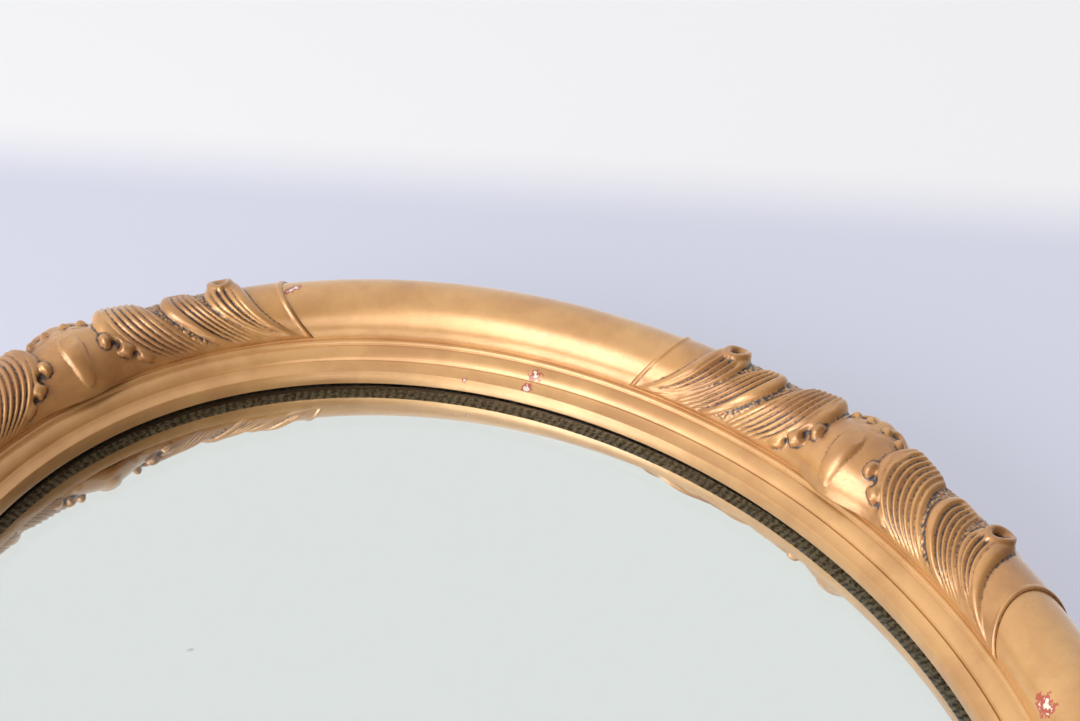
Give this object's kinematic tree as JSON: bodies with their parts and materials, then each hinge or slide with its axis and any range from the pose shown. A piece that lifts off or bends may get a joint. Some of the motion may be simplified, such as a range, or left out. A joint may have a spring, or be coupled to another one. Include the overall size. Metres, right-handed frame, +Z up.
{
  "type": "oval wall mirror",
  "caption": "Oval wall mirror: flat plate in a moulded gilt frame with cast leaf ornaments at the ends of its axes, closed back, felt pads and swinging hanger rings.",
  "frame": {"origin": "on the wall, behind the middle of the oval", "axes": "+Z up, along the oval's long axis; -Y out of the wall, the way the plate faces; +X to the right as seen from the front"},
  "size_m": [0.392, 0.0521, 0.4936],
  "materials": {
    "frame_gilt": "satin gold paint over red and white grounds on timber",
    "ornament_gilt": "satin gold paint with dark wax in the hollows, on cast composition",
    "plate": "polished, flat",
    "silver": "silvered, painted behind",
    "board": "bare aged plywood",
    "timber": "bare softwood and beech",
    "lining": "thin black felt strip",
    "steel": "dull drawn steel",
    "plated_steel": "brass-plated, tarnished",
    "screw_steel": "dull steel",
    "felt": "brown pressed felt"
  },
  "bodies": {
    "mirror": {"frame_top_right": "frame_gilt", "frame_top_left": "frame_gilt", "frame_bottom_right": "frame_gilt", "frame_bottom_left": "frame_gilt", "ornament_top": "ornament_gilt", "ornament_right": "ornament_gilt", "ornament_bottom": "ornament_gilt", "ornament_left": "ornament_gilt", "mirror_glass": "plate", "mirror_silvering": "silver", "backing_board": "board", "joint_dowels_top": "timber", "joint_dowels_right": "timber", "joint_dowels_bottom": "timber", "joint_dowels_left": "timber", "glass_blocks": "timber", "rebate_lining": "lining", "backing_pins": "steel", "hanger_strap_right": "plated_steel", "hanger_strap_left": "plated_steel", "strap_screws_right": "screw_steel", "strap_screws_left": "screw_steel", "wall_pads": "felt"},
    "ring_right": {"hanger_ring_right": "plated_steel"},
    "ring_left": {"hanger_ring_left": "plated_steel"}
  },
  "joints": [
    {"name": "ring_right_swing", "type": "hinge", "parent": "mirror", "child": "ring_right", "pos_m": [0.16188, -0.00314, 0.10035], "axis": [1, 0, 0], "range_deg": [0, 180]},
    {"name": "ring_left_swing", "type": "hinge", "parent": "mirror", "child": "ring_left", "pos_m": [-0.16188, -0.00314, 0.10035], "axis": [1, 0, 0], "range_deg": [0, 180]}
  ]
}
